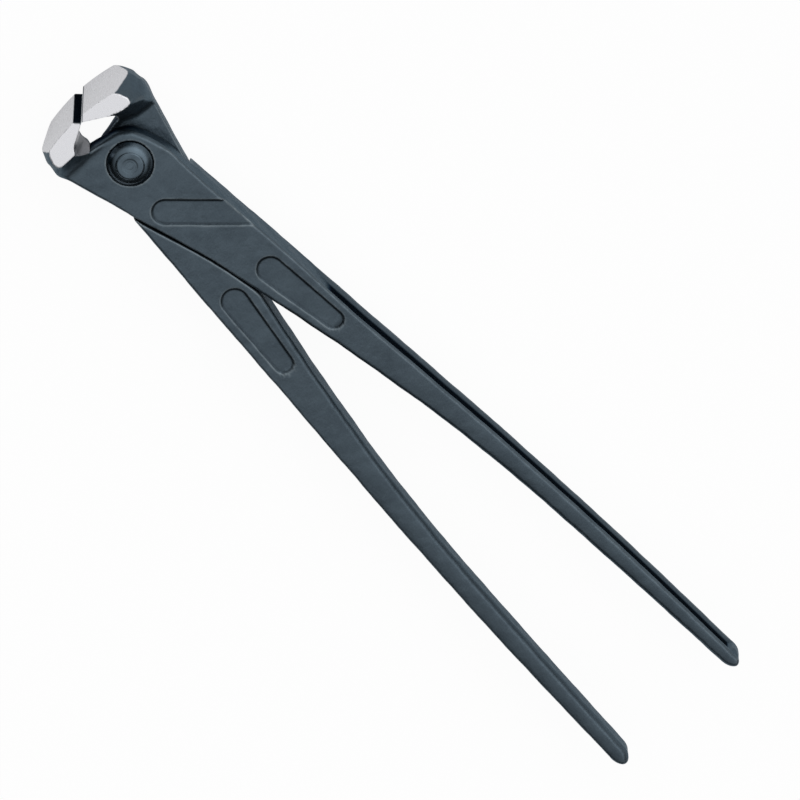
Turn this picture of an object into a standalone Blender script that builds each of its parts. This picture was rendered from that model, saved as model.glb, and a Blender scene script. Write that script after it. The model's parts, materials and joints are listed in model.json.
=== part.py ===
"""Rebar tying pliers: end-cutting nippers of forged steel, 250 mm long.

Two levers cross at a lap joint and turn on one rivet. They come from the same forging: the
rear lever is the front one turned half a turn about the long axis of the tool.

The tool lies flat with its jaws shut. +Y runs along it to the head, +Z runs along the rivet
and +X points to the side of the rear lever's jaw. The world origin is under the middle of
the tool's bounding box. A lever is modelled about its own origin, which is the point on the
rivet's axis between the two joint plates. All lengths are in metres.
"""

import math

import bmesh
import bpy
import numpy as np
from mathutils import Vector

# Whole tool, measured from the axis of the rivet.
HANDLE_REACH = 0.2309
HEAD_REACH = 0.0215
HANDLE_SPREAD = 0.0437

# Joint.
PLATE_THICKNESS = 0.0062
CLEARANCE = 0.0003
BOSS_RADIUS = 0.0095
WAIST_HALF_WIDTH = 0.0112
WAIST_FLARE = 0.0006
STEP_REACH = 0.0078
STEP_CORNER_REACH = 0.0095
STEP_CORNER_HALF_WIDTH = 0.0076

# Head: the crossbar that carries the cutting edge, and the forged neck under it.
EDGE_LENGTH = 0.0266
CROWN_RADIUS = 0.0570
EDGE_REACH = 0.0199
FACET_REACH = 0.0149
NECK_REACH = 0.0070
SHOULDER_REACH = 0.0118
SHOULDER_HALF_WIDTH = 0.0176
FLANK_BULGE = 0.0005
CROWN_HALF_WIDTH = 0.0158
CORNER_CUT = 0.0048
CORNER_CUT_LOW = 0.0027

# Throat: the gap between the shut jaws.
THROAT_WALL_REACH = 0.0169
THROAT_WALL_HALF_WIDTH = 0.0052
THROAT_SHOULDER_RADIUS = 0.0050
THROAT_HALF_WIDTH = 0.0078
THROAT_SHOULDER_REACH = 0.0145
THROAT_CORNER_RADIUS = 0.0023
THROAT_FLOOR_HALF_WIDTH = 0.0056
THROAT_RIDGE_HALF_WIDTH = 0.0057

# Handles.
BEND_REACH = 0.0410
BEND_HALF_WIDTH = 0.0023
JOINT_EDGE_BULGE = 0.0001
ROOT_WIDTH = 0.0153
TIP_WIDTH = 0.0050
TIP_ROUND = 0.0030
HANDLE_THICKNESS = 0.0106
TIP_THICKNESS = 0.0096
EDGE_ROUND = 0.0013

# Flute along the outer side of each handle.
FLUTE_WIDTH = 0.0046
FLUTE_DEPTH = 0.0013
FLUTE_START = 0.0480
FLUTE_RUN_IN = 0.0200
FLUTE_END_LAND = 0.0045

# Bare sunk panels.
PANEL_DEPTH = 0.0004
JOINT_PANEL_WIDTH = 0.0068
JOINT_PANEL_START = (-0.0029, -0.0174)
HANDLE_PANEL_START = (0.0070, -0.0507)
HANDLE_PANEL_END = (0.0098, -0.0740)
HANDLE_PANEL_START_WIDTH = 0.0072
HANDLE_PANEL_END_WIDTH = 0.0050

# Rivet.
SHAFT_RADIUS = 0.0040
RECESS_RADIUS = 0.0068
RECESS_DEPTH = 0.0010
RIVET_PROUD = 0.0028
RIVET_FLAT_RADIUS = 0.0038
RIVET_EDGE_ROUND = 0.0007
RIVET_DISH_DEPTH = 0.0003

# How far a cut runs past what it cuts.
OVERRUN = 0.0060

# Angles.
JOINT_PANEL_SLOPE = math.radians(-43.5)
BOSS_LEFT_ANGLE = math.radians(80.0)
BOSS_RIGHT_ANGLE = math.radians(34.0)
EDGE_BEVEL = math.radians(45.0)
SHARP_EDGE = math.radians(30.0)

# Shape of the handle from the bend to the tip: share of the way along, share of the half
# spread that the middle line has reached, and share of the taper in width still to come.
HANDLE_SHARES = (
    (0.000, 0.259, 1.000),
    (0.074, 0.334, 0.871),
    (0.164, 0.442, 0.668),
    (0.212, 0.498, 0.556),
    (0.312, 0.609, 0.403),
    (0.370, 0.669, 0.306),
    (0.444, 0.738, 0.243),
    (0.577, 0.831, 0.158),
    (0.709, 0.898, 0.124),
    (0.841, 0.950, 0.074),
    (1.000, 1.000, 0.000),
)

# Shape of the taper in thickness, from the rivet to the tip: share of the way along, and
# share of the way from the joint's thickness to the handle's.
THICKNESS_SHARES = ((0.00, 0.00), (0.10, 0.05), (0.22, 0.45), (0.40, 1.00))

# How finely round stretches are cut.
FILLET_STEPS = 8
JOINT_SECTIONS = 12
HANDLE_SECTIONS = 34
TIP_SECTIONS = 6
ROUND_STEPS = 64
CORNER_STEPS = 5
CROWN_STEPS = 16


def smooth_track(stations, values):
    """A smooth curve through the values: cubic pieces that share the slope at each station."""
    order = np.argsort(stations)
    at = np.asarray(stations, float)[order]
    value = np.asarray(values, float)[order]
    slope = np.gradient(value, at)

    def track(y):
        piece = int(np.clip(np.searchsorted(at, y) - 1, 0, len(at) - 2))
        span = at[piece + 1] - at[piece]
        u = min(max((y - at[piece]) / span, 0), 1)
        rest = 1 - u
        start = value[piece] * (1 + u + u) + slope[piece] * span * u
        end = value[piece + 1] * (1 + rest + rest) - slope[piece + 1] * span * rest
        return start * rest * rest + end * u * u

    return track


def smoothstep(u):
    """0 below 0, 1 above 1 and a smooth rise between."""
    u = min(max(u, 0), 1)
    return u * u * (1 + 2 * (1 - u))


def lever_tracks():
    """The left edge, right edge and half thickness of the lever as functions of y."""
    run = HANDLE_REACH - BEND_REACH
    stations = [-BEND_REACH - share * run for share, _, _ in HANDLE_SHARES]
    middles = [share * HANDLE_SPREAD / 2 for _, share, _ in HANDLE_SHARES]
    widths = [TIP_WIDTH + share * (ROOT_WIDTH - TIP_WIDTH) for _, _, share in HANDLE_SHARES]

    left = [middle - width / 2 for middle, width in zip(middles, widths)]
    left[0] = -BEND_HALF_WIDTH
    left_edge = smooth_track(
        [SHOULDER_REACH, (SHOULDER_REACH - BEND_REACH) / 2] + stations,
        [-SHOULDER_HALF_WIDTH, -(SHOULDER_HALF_WIDTH + BEND_HALF_WIDTH) / 2 - JOINT_EDGE_BULGE]
        + left,
    )
    right = [middle + width / 2 for middle, width in zip(middles, widths)]
    right_edge = smooth_track(
        [SHOULDER_REACH, -WAIST_HALF_WIDTH, -BEND_REACH / 2] + stations,
        [WAIST_HALF_WIDTH, WAIST_HALF_WIDTH, WAIST_HALF_WIDTH + WAIST_FLARE] + right,
    )

    joint_half = PLATE_THICKNESS + CLEARANCE / 2
    handle_half = HANDLE_THICKNESS / 2
    levels = [joint_half + share * (handle_half - joint_half) for _, share in THICKNESS_SHARES]
    half_thickness = smooth_track(
        [-share * HANDLE_REACH for share, _ in THICKNESS_SHARES] + [-HANDLE_REACH],
        levels + [TIP_THICKNESS / 2],
    )
    return left_edge, right_edge, half_thickness


LEFT_EDGE, RIGHT_EDGE, HALF_THICKNESS = lever_tracks()


def flute_depth(y):
    """The flute runs in smoothly below the joint and stops short of the tip."""
    run_in = smoothstep((-FLUTE_START - y) / FLUTE_RUN_IN)
    run_out = smoothstep((y + HANDLE_REACH - FLUTE_END_LAND) / FLUTE_END_LAND)
    return FLUTE_DEPTH * run_in * run_out


def ring(y, left, right, half, corner, flute):
    """One section of a handle or joint plate, a rounded rectangle with a fluted right side."""
    nick = corner * (1 - math.sqrt(1 / 2))
    mouth = min(FLUTE_WIDTH / 2, half - corner)
    floor = mouth - min(flute, mouth / 2)
    top = [
        (right, mouth),
        (right, half - corner),
        (right - nick, half - nick),
        (right - corner, half),
        (left + corner, half),
        (left + nick, half - nick),
        (left, half - corner),
    ]
    middle = [(left, 0)]
    bottom = [(x, -z) for x, z in reversed(top)]
    groove = [(right - flute, -floor), (right - flute, floor)]
    return [Vector((x, y, z)) for x, z in top + middle + bottom + groove]


def head_ring(y, outer, cut, half, blend):
    """One section of the head and neck. Blend 1 gives the head's pointed outer flank, and
    blend 0 gives the rounded edge of the joint plate."""
    corner = EDGE_ROUND
    nick = corner * (1 - math.sqrt(1 / 2))
    plain = ring(y, -outer, WAIST_HALF_WIDTH, half, corner, 0)
    flank = [(cut, half), (cut * 3 / 4, half * 3 / 4), (cut / 2, half / 2), (0, 0)]
    rounded = [(corner, half), (nick, half - nick), (0, half - corner), (0, 0)]
    side = []
    for (cut_x, cut_z), (round_x, round_z) in zip(flank, rounded):
        x = -outer + blend * cut_x + (1 - blend) * round_x
        side.append((x, blend * cut_z + (1 - blend) * round_z))
    side += [(x, -z) for x, z in reversed(side[:-1])]
    for index, (x, z) in enumerate(side, start=4):
        plain[index] = Vector((x, y, z))
    return plain


def head_rings():
    """Sections from above the crown down to the foot of the neck."""
    half_edge = EDGE_LENGTH / 2
    joint_half = HALF_THICKNESS(0)
    rings = []
    top = HEAD_REACH + CLEARANCE + CLEARANCE
    for step in range(FILLET_STEPS + 1):
        share = step / FILLET_STEPS
        y = top + share * (FACET_REACH - top)
        swell = math.sin(share * math.pi / 2)
        widest = SHOULDER_HALF_WIDTH + FLANK_BULGE
        outer = CROWN_HALF_WIDTH + swell * (widest - CROWN_HALF_WIDTH)
        cut = CORNER_CUT + swell * (CORNER_CUT_LOW - CORNER_CUT)
        rings.append(head_ring(y, outer, cut, half_edge, 1))
    for step in range(1, FILLET_STEPS + 1):
        share = 1 - step / FILLET_STEPS
        y = NECK_REACH + share * (FACET_REACH - NECK_REACH)
        half = joint_half + share * share * (half_edge - joint_half)
        bulge = FLANK_BULGE * smoothstep(share)
        outer = SHOULDER_HALF_WIDTH if y > SHOULDER_REACH else -LEFT_EDGE(y)
        rings.append(head_ring(y, outer + bulge, CORNER_CUT_LOW, half, share**4))
    return rings


def lever_rings():
    """All sections of a lever, from the crown of the head to the tip of the handle."""
    rings = head_rings()
    foot = rings[-1][0].y
    tip_start = TIP_ROUND - HANDLE_REACH
    stations = list(np.linspace(foot, -BEND_REACH, JOINT_SECTIONS)[1:])
    stations += list(np.linspace(-BEND_REACH, tip_start, HANDLE_SECTIONS)[1:])
    for y in stations:
        corner = EDGE_ROUND
        rings.append(ring(y, LEFT_EDGE(y), RIGHT_EDGE(y), HALF_THICKNESS(y), corner, flute_depth(y)))
    for step in range(1, TIP_SECTIONS + 1):
        angle = step / (TIP_SECTIONS + 1) * math.pi / 2
        y = tip_start - TIP_ROUND * math.sin(angle)
        shrink = math.cos(angle)
        middle = (LEFT_EDGE(y) + RIGHT_EDGE(y)) / 2
        half_width = (RIGHT_EDGE(y) - LEFT_EDGE(y)) / 2 * shrink
        half = HALF_THICKNESS(y) * (1 + shrink) / 2
        corner = EDGE_ROUND * shrink
        rings.append(ring(y, middle - half_width, middle + half_width, half, corner, 0))
    return rings


def loft(name, rings):
    """A closed skin through rings of equally many points."""
    mesh = bmesh.new()
    rows = [[mesh.verts.new(point) for point in points] for points in rings]
    for row, below in zip(rows, rows[1:]):
        for index in range(len(row)):
            mesh.faces.new((row[index - 1], row[index], below[index], below[index - 1]))
    mesh.faces.new(rows[0])
    mesh.faces.new(rows[-1])
    bmesh.ops.recalc_face_normals(mesh, faces=mesh.faces)
    bmesh.ops.triangulate(mesh, faces=mesh.faces)
    return finish_mesh(name, mesh)


def finish_mesh(name, mesh):
    """An object of this name around a bmesh, which is freed."""
    data = bpy.data.meshes.new(name)
    mesh.to_mesh(data)
    mesh.free()
    return bpy.data.objects.new(name, data)


def arc(middle, radius, start, end, steps):
    """Points along an arc, from one angle to the other."""
    points = []
    for angle in np.linspace(start, end, steps + 1):
        points.append((middle[0] + radius * math.cos(angle), middle[1] + radius * math.sin(angle)))
    return points


def prism(name, outline, low, high):
    """A cutter: a flat outline in x and y, raised from one z to the other."""
    mesh = bmesh.new()
    face = mesh.faces.new([mesh.verts.new((x, y, low)) for x, y in outline])
    raised = bmesh.ops.extrude_face_region(mesh, geom=[face])
    moved = [item for item in raised["geom"] if isinstance(item, bmesh.types.BMVert)]
    bmesh.ops.translate(mesh, verts=moved, vec=(0, 0, high - low))
    bmesh.ops.recalc_face_normals(mesh, faces=mesh.faces)
    return finish_mesh(name, mesh)


def crown_cutter():
    """What the grinding wheel takes off the end faces, which are round along x."""
    middle = (0, HEAD_REACH - CROWN_RADIUS)
    side = SHOULDER_HALF_WIDTH + OVERRUN
    swing = math.asin(side / CROWN_RADIUS)
    outline = arc(middle, CROWN_RADIUS, math.pi / 2 - swing, math.pi / 2 + swing, CROWN_STEPS)
    outline += [(-side, HEAD_REACH + OVERRUN), (side, HEAD_REACH + OVERRUN)]
    return prism("crown_cutter", outline, -EDGE_LENGTH, EDGE_LENGTH)


def bowed(start, end, radius, steps):
    """Points along an arc of this radius from start to end, which bows to its right."""
    chord = Vector(end) - Vector(start)
    half = chord.length / 2
    across = Vector((chord.y, -chord.x)).normalized()
    inset = math.sqrt(max(radius * radius - half * half, 0))
    middle = (Vector(start) + Vector(end)) / 2 - across * inset
    swing = math.asin(min(half / radius, 1))
    facing = math.atan2(across.y, across.x)
    return arc(middle, radius, facing - swing, facing + swing, steps)


def throat_cutter():
    """Everything on the other jaw's side: it leaves the bevelled cutting edge, the wall and
    the floor of the throat, the boss round the rivet and the waist beside it. The forging's
    draft fills the throat's corner towards the middle of its thickness."""
    gap = CLEARANCE / 2
    top = HEAD_REACH + OVERRUN
    far = WAIST_HALF_WIDTH + OVERRUN
    bevel_run = (top - EDGE_REACH) / math.tan(EDGE_BEVEL)
    boss = arc((0, 0), BOSS_RADIUS, BOSS_LEFT_ANGLE, BOSS_RIGHT_ANGLE, ROUND_STEPS // 4)
    rise = (boss[0][0] + THROAT_FLOOR_HALF_WIDTH) / math.tan(BOSS_LEFT_ANGLE)
    floor_end = (-THROAT_FLOOR_HALF_WIDTH, boss[0][1] + rise)
    wall_end = (-THROAT_WALL_HALF_WIDTH, THROAT_WALL_REACH)
    shoulder = (-THROAT_HALF_WIDTH, THROAT_SHOULDER_REACH)
    fall = (far - boss[-1][0]) / math.tan(BOSS_RIGHT_ANGLE)
    edge = [(-gap - bevel_run, top), (-gap, EDGE_REACH)]
    corner = bowed(wall_end, shoulder, THROAT_SHOULDER_RADIUS, CORNER_STEPS)
    corner += bowed(shoulder, floor_end, THROAT_CORNER_RADIUS, CORNER_STEPS)[1:]
    rest = boss + [(far, boss[-1][1] - fall), (far, top)]
    ridge = [(max(x, -THROAT_RIDGE_HALF_WIDTH), y) for x, y in corner]
    spread = [(x + x - ridge_x, y) for (x, y), (ridge_x, _) in zip(corner, ridge)]
    rings = []
    for side, z in ((spread, EDGE_LENGTH), (ridge, 0), (spread, -EDGE_LENGTH)):
        rings.append([Vector((x, y, z)) for x, y in edge + side + rest])
    return loft("throat_cutter", rings)


def lap_cutter():
    """Room for the other lever's plate behind this one: up to the step under the head, and
    out to the wall that the other lever's edge closes against."""
    far = SHOULDER_HALF_WIDTH + OVERRUN
    low = -BEND_REACH - ROOT_WIDTH - OVERRUN
    outline = [(far, SHOULDER_REACH), (-STEP_CORNER_HALF_WIDTH, SHOULDER_REACH)]
    outline += [(-STEP_CORNER_HALF_WIDTH, STEP_CORNER_REACH), (-BOSS_RADIUS, STEP_REACH)]
    outline += [(-far, STEP_REACH), (-far, low)]
    wall = np.linspace(low, -STEP_REACH, JOINT_SECTIONS)
    outline += [(-LEFT_EDGE(y) + CLEARANCE, y) for y in wall]
    outline += [(far, -STEP_REACH)]
    return prism("lap_cutter", outline, -EDGE_LENGTH, CLEARANCE / 2)


def turned_mesh(profile):
    """A closed solid from a profile of (radius, z) points turned about the z axis."""
    mesh = bmesh.new()
    points = [mesh.verts.new((radius, 0, z)) for radius, z in profile]
    edges = [mesh.edges.new(pair) for pair in zip(points, points[1:])]
    bmesh.ops.spin(
        mesh,
        geom=points + edges,
        axis=(0, 0, 1),
        cent=(0, 0, 0),
        angle=math.tau,
        steps=ROUND_STEPS,
        use_merge=True,
    )
    bmesh.ops.remove_doubles(mesh, verts=mesh.verts, dist=CLEARANCE / 100)
    bmesh.ops.recalc_face_normals(mesh, faces=mesh.faces)
    return mesh


def rivet_cutter():
    """The bore for the shaft and the round recess for the head."""
    face = PLATE_THICKNESS + CLEARANCE / 2
    bore = SHAFT_RADIUS + CLEARANCE
    profile = [(0, face + OVERRUN), (RECESS_RADIUS, face + OVERRUN)]
    profile += [(RECESS_RADIUS, face - RECESS_DEPTH), (bore, face - RECESS_DEPTH)]
    profile += [(bore, -OVERRUN), (0, -OVERRUN)]
    return finish_mesh("rivet_cutter", turned_mesh(profile))


def capsule(start, end, start_radius, end_radius):
    """The outline round two circles and their outer tangents."""
    along = math.atan2(end[1] - start[1], end[0] - start[0])
    span = math.hypot(end[0] - start[0], end[1] - start[1])
    lean = math.acos((start_radius - end_radius) / span)
    outline = arc(start, start_radius, along + lean, along + math.tau - lean, CORNER_STEPS * 2)
    outline += arc(end, end_radius, along - lean, along + lean, CORNER_STEPS * 2)
    return outline


def panel_cutters():
    """The three sunk panels: one on the joint, and one on each face of the handle."""
    x, y = JOINT_PANEL_START
    run = WAIST_HALF_WIDTH + OVERRUN - x
    end = (x + run, y + run * math.tan(JOINT_PANEL_SLOPE))
    radius = JOINT_PANEL_WIDTH / 2
    floor = HALF_THICKNESS(y) - PANEL_DEPTH
    joint = prism(
        "joint_panel_cutter",
        capsule(JOINT_PANEL_START, end, radius, radius),
        floor,
        floor + OVERRUN,
    )
    handle = capsule(
        HANDLE_PANEL_START,
        HANDLE_PANEL_END,
        HANDLE_PANEL_START_WIDTH / 2,
        HANDLE_PANEL_END_WIDTH / 2,
    )
    middle = (HANDLE_PANEL_START[1] + HANDLE_PANEL_END[1]) / 2
    floor = HALF_THICKNESS(middle) - PANEL_DEPTH
    front = prism("front_panel_cutter", handle, floor, floor + OVERRUN)
    back = prism("back_panel_cutter", handle, -floor - OVERRUN, -floor)
    return [joint, front, back]


def lever_cutters():
    """Every cut that turns the forged blank into a lever."""
    return [crown_cutter(), throat_cutter(), lap_cutter(), rivet_cutter()] + panel_cutters()


def make_lever_mesh(helpers):
    """The finished mesh that both levers share."""
    blank = loft("lever_blank", lever_rings())
    helpers.objects.link(blank)
    for cutter in lever_cutters():
        helpers.objects.link(cutter)
        cutter.display_type = "WIRE"
        cutter.hide_render = True
        cut = blank.modifiers.new(cutter.name, "BOOLEAN")
        cut.operation = "DIFFERENCE"
        cut.solver = "EXACT"
        cut.object = cutter
    bpy.context.view_layer.update()
    evaluated = blank.evaluated_get(bpy.context.evaluated_depsgraph_get())
    data = bpy.data.meshes.new_from_object(evaluated)
    data.name = "lever"
    blank.display_type = "WIRE"
    blank.hide_render = True
    return data


def make_rivet_mesh():
    """A turned rivet: a shaft with the same flat-topped conical head at both ends."""
    face = PLATE_THICKNESS + CLEARANCE / 2
    seat = face - RECESS_DEPTH + CLEARANCE
    top = face + RIVET_PROUD
    rim = RECESS_RADIUS - CLEARANCE
    upper = [(0, top - RIVET_DISH_DEPTH), (RIVET_FLAT_RADIUS / 2, top - RIVET_DISH_DEPTH)]
    upper += [(RIVET_FLAT_RADIUS - RIVET_EDGE_ROUND / 2, top)]
    upper += [(RIVET_FLAT_RADIUS + RIVET_EDGE_ROUND / 2, top - RIVET_EDGE_ROUND / 2)]
    upper += [(rim, face), (rim, seat), (SHAFT_RADIUS, seat)]
    profile = upper + [(x, -z) for x, z in reversed(upper)]
    mesh = turned_mesh(profile)
    data = bpy.data.meshes.new("pivot_rivet")
    mesh.to_mesh(data)
    mesh.free()
    return data


def steel(name, colour, roughness):
    """A plain steel material."""
    material = bpy.data.materials.new(name)
    material.use_nodes = True
    shader = material.node_tree.nodes["Principled BSDF"]
    shader.inputs["Base Color"].default_value = (*colour, 1)
    shader.inputs["Metallic"].default_value = 1
    shader.inputs["Roughness"].default_value = roughness
    material.diffuse_color = (*colour, 1)
    return material


def new_collection(name):
    collection = bpy.data.collections.new(name)
    bpy.context.scene.collection.children.link(collection)
    return collection


def place(collection, name, mesh, material, parent, half_turn):
    """One piece on the rivet's axis, turned about the long axis of the tool if need be."""
    piece = bpy.data.objects.new(name, mesh)
    collection.objects.link(piece)
    piece.parent = parent
    piece.rotation_euler = (0, math.pi if half_turn else 0, 0)
    piece.material_slots[0].link = "OBJECT"
    piece.material_slots[0].material = material
    return piece


def main():
    for old in list(bpy.data.objects):
        bpy.data.objects.remove(old)
    parts = new_collection("rebar_tying_pliers")
    helpers = new_collection("cutters")

    pivot = bpy.data.objects.new("pivot_axis", None)
    pivot.location = (0, (HANDLE_REACH - HEAD_REACH) / 2, EDGE_LENGTH / 2)
    parts.objects.link(pivot)

    front_steel = steel("blued_forging", (0.055, 0.075, 0.090), 0.45)
    rear_steel = steel("blued_forging_rear", (0.055, 0.075, 0.090), 0.45)
    rivet_steel = steel("blued_rivet", (0.045, 0.060, 0.072), 0.35)

    lever = make_lever_mesh(helpers)
    rivet = make_rivet_mesh()
    for mesh, material in ((lever, front_steel), (rivet, rivet_steel)):
        mesh.materials.clear()
        mesh.materials.append(material)
        mesh.shade_smooth()
        mesh.set_sharp_from_angle(angle=SHARP_EDGE)

    place(parts, "front_lever", lever, front_steel, pivot, False)
    place(parts, "rear_lever", lever, rear_steel, pivot, True)
    place(parts, "pivot_rivet", rivet, rivet_steel, pivot, False)


main()
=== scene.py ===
"""Rebar tying pliers: the looks of a pair of forged end-cutting nippers.

Both levers come from one forging. Its surface is worked out here as a distance: a function of
x, y and z that is negative inside the steel and zero on its skin. Forged, ground and cut faces
are combined with rounded edges, and a mesh is then laid over the zero of that function.

The lever is worked out in the joint's own coordinates, in metres: the origin is on the
rivet's axis between the two joint plates, y runs to the head and z along the rivet. The front
lever has its jaw at negative x and its joint plate at positive z. The rear lever is the same
forging, turned half a turn about y.
"""

import json
import math

import bpy
import numpy as np
from mathutils import Matrix, Vector
from mathutils.bvhtree import BVHTree


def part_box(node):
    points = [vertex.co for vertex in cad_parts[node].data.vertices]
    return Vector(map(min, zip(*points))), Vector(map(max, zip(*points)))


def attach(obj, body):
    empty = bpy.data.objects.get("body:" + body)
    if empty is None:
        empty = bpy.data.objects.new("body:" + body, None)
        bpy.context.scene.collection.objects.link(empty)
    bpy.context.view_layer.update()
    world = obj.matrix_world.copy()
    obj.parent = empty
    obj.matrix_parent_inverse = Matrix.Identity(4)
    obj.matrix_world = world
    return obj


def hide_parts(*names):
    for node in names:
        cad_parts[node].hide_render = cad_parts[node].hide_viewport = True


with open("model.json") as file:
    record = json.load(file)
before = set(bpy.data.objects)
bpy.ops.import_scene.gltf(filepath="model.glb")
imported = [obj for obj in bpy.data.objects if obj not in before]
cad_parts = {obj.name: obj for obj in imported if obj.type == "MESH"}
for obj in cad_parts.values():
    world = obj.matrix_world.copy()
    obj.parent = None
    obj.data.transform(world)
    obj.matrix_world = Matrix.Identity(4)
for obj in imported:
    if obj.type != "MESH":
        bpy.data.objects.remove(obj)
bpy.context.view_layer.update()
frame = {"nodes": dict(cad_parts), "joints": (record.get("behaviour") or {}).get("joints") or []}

bl_info = {
    "name": "Rebar tying pliers",
    "version": (1, 0, 0),
    "blender": (4, 5, 0),
    "location": "View3D > Sidebar > Tying Pliers",
    "description": "Forged nippers with ground jaws, a riveted lap joint and fluted handles",
    "category": "Object",
}

# Read from the frame: the middle of the joint, and the boxes of two nodes seen from there.
PIVOT = np.array(frame["joints"][0]["pos_m"])
FRONT_BOX = [np.array(corner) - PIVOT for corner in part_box("front_lever")]
RIVET_BOX = [np.array(corner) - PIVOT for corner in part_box("pivot_rivet")]
FRONT_BODY = "front_lever_body"
REAR_BODY = "rear_lever_body"
HEAD_REACH = FRONT_BOX[1][1]
HANDLE_REACH = -FRONT_BOX[0][1]
HALF_EDGE = FRONT_BOX[1][2]
RIVET_TOP = RIVET_BOX[1][2]

# Where rays measure the lever's solid: the heights at which they find the left edge and the
# edge beside the flute, the shares across a face where they find its height, the step
# between rays along y, and the stretch at the tip that has none.
EDGE_LEVEL = 0.0005
LAND_LEVEL = 0.0030
FACE_SHARES = (0.15, 0.5, 0.85)
EDGE_STEP = 0.0040
TIP_LENGTH = 0.0035

# Head and neck. The flank's points are its left edge above the facets' foot, as (x, y).
CROWN_RADIUS = 0.0570
EDGE_REACH = 0.0199
FACET_REACH = 0.0147
NECK_REACH = 0.0074
FORGED_SWELL = 0.0014
FLANK = np.array([(-0.01790, 0.0149), (-0.01755, 0.0170), (-0.0167, 0.0190), (-0.0150, 0.0215)])
HEAD_HALF_WIDTH = 0.0181
CORNER_CUT = 0.0036
CORNER_CUT_LOW = 0.0014
LOBE_CUT = 0.0012
LOBE_TOP = 0.0166
LOBE_LENGTH = 0.0030
RIDGE_ROUND_SHARE = 0.08
LEAN_POWER = 3
NECK_POWER = 2.2

# Throat, boss and the lap between the plates. The gap is the one between moving faces, and
# the edge gap is half of the one between the shut cutting edges.
GAP = 0.0003
EDGE_GAP = 0.00004
THROAT_WALL_END = (-0.0052, 0.0169)
THROAT_SHOULDER = (-0.0078, 0.0145)
THROAT_SHOULDER_RADIUS = 0.0050
THROAT_CORNER_RADIUS = 0.0023
THROAT_FLOOR_HALF_WIDTH = 0.0056
THROAT_RIDGE_HALF_WIDTH = 0.0057
BOSS_RADIUS = 0.0095
BOSS_BLEND_RADIUS = 0.0050
BOSS_LEFT_ANGLE = math.radians(80.0)
BOSS_RIGHT_ANGLE = math.radians(34.0)
STEP_REACH = 0.0076
STEP_CREASE = [(-0.0059, 0.0098), (-0.0078, 0.0090), (-0.0101, 0.0080), (-0.0137, 0.0076)]
STEP_DRAFT_SHARE = 0.465
STEP_FILLET = 0.0012
STEP_EDGE_ROUND = 0.0014
LAP_FILLET = 0.0005
LAP_EDGE_ROUND = 0.0006
WAIST_REACH = 0.0130
DRAFT_SHARE = 0.045
FACE_CROWN = 0.0007
FLUTE_LEAN_SHARE = 1.0
LIP_INSET = 0.0008
TIP_CURVE = 0.0042

# Rivet and its seat.
PLATE_TOP = 0.00635
BORE_RADIUS = 0.0043
SHAFT_RADIUS = 0.0040
RECESS_RADIUS = 0.0068
RECESS_DEPTH = 0.0010
HEAD_RADIUS = 0.0065
FLAT_RADIUS = 0.0037
CONE_BOW = 0.00015
DISH_WALL_SHARES = (0.56, 0.20)
RING_SHARES = (0.36, 0.09)

# The round left on the edges of the panels and the recess, and how far outside the handle
# the flute's floor lies where the flute has run out.
PANEL_ROUND = 0.00015
RECESS_ROUND = 0.0003
FLUTE_RUN_OUT = 3 * GAP

# Zones over which a shape grows: where it starts, and the run that it takes. A name ends in
# the way the zone runs: up to the head, down to the tips, left, right, or out along the rivet.
DRAFT_UP = (-0.050, 0.030)
LIP_DOWN = (0.050, 0.030)
LIP_OUT = (0.0, 0.003)
FACE_CROWN_DOWN = (0.060, 0.090)
BOSS_EDGE_RIGHT = (-0.004, 0.006)
BOSS_EDGE_UP = (-0.006, 0.006)
FLANK_EDGE_LEFT = (0.010, 0.004)
FLANK_EDGE_UP = (0.011, 0.004)
FLANK_TOP_UP = (0.0165, 0.003)
FLANK_TOP_SHARE = 0.7
HANDLE_EDGE_DOWN = (0.040, 0.030)
SEAM_EDGE_LEFT = (-0.004, 0.006)
SEAM_EDGE_DOWN = (0.008, 0.004)
FLUTE_DOWN = (0.046, 0.026)
FLUTE_FROM_TIP = (0.0024, 0.004)
UNDER_HEAD_LEFT = (0.008, 0.004)
UNDER_HEAD_OUT = (3 * GAP, 0.003)

# Finish and painted shade of the skin, kept on the mesh's points: how near to a ground face
# still counts as ground, how far the throat's corners are dulled in front and behind, where
# painted shade darkens the flute's floor and the foot of the boss wall, the bend at which an
# edge wears and takes a painted highlight and a crease takes painted shade, and the strength of the
# painted shade on the bevel.
GROUND_REACH_SHARE = 1.5
CORNER_DULL_FRONT = 0.22
CORNER_DULL_BACK = 0.6
FLUTE_FLOOR_SHARES = (0.72, 0.22)
WALL_FOOT_SHARE = 0.8
WALL_FOOT_RUN = 0.003
WALL_FOOT_DARK = 0.9
EDGE_AND_CREASE_BEND = (500.0, 1600.0)
BEVEL_DARK = 1.2

# Sunk panels: middle of each end and half width there.
JOINT_PANEL = ((-0.0029, -0.0174, 0.0034), (0.0189, -0.0381, 0.0034))
HANDLE_PANEL = ((0.0070, -0.0507, 0.0036), (0.0098, -0.0740, 0.0025))

# Fineness: the steps along the outlines' arcs and the seam, the lever's cell, the longer cell
# along the handle, where that begins and the run it takes, the fine stretch at the tip and
# its run, how strongly a cell's point is held to the middle of its crossings, how far the
# skin's slope and bend are felt for, the steps along the rivet's profile and round it, and
# the angles past which an edge is shaded sharp.
THROAT_SHOULDER_STEPS = 6
THROAT_CORNER_STEPS = 12
BOSS_STEPS = 24
SEAM_STEPS = 40
FINE_CELL = 0.00030
LONG_CELL = 0.00110
FINE_REACH = 0.0560
LONG_RUN = 0.02
TIP_FINE_REACH = 0.006
TIP_FINE_RUN = 0.01
MIDDLE_WEIGHT = 0.06
SLOPE_PROBE = FINE_CELL / 12
BEND_PROBE = 2 * FINE_CELL
DISH_STEPS = 28
SHOULDER_STEPS = 8
CONE_STEPS = 24
RIVET_TURNS = 160
LEVER_SHARP_ANGLE = math.radians(38)
RIVET_SHARP_ANGLE = math.radians(50)

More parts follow.
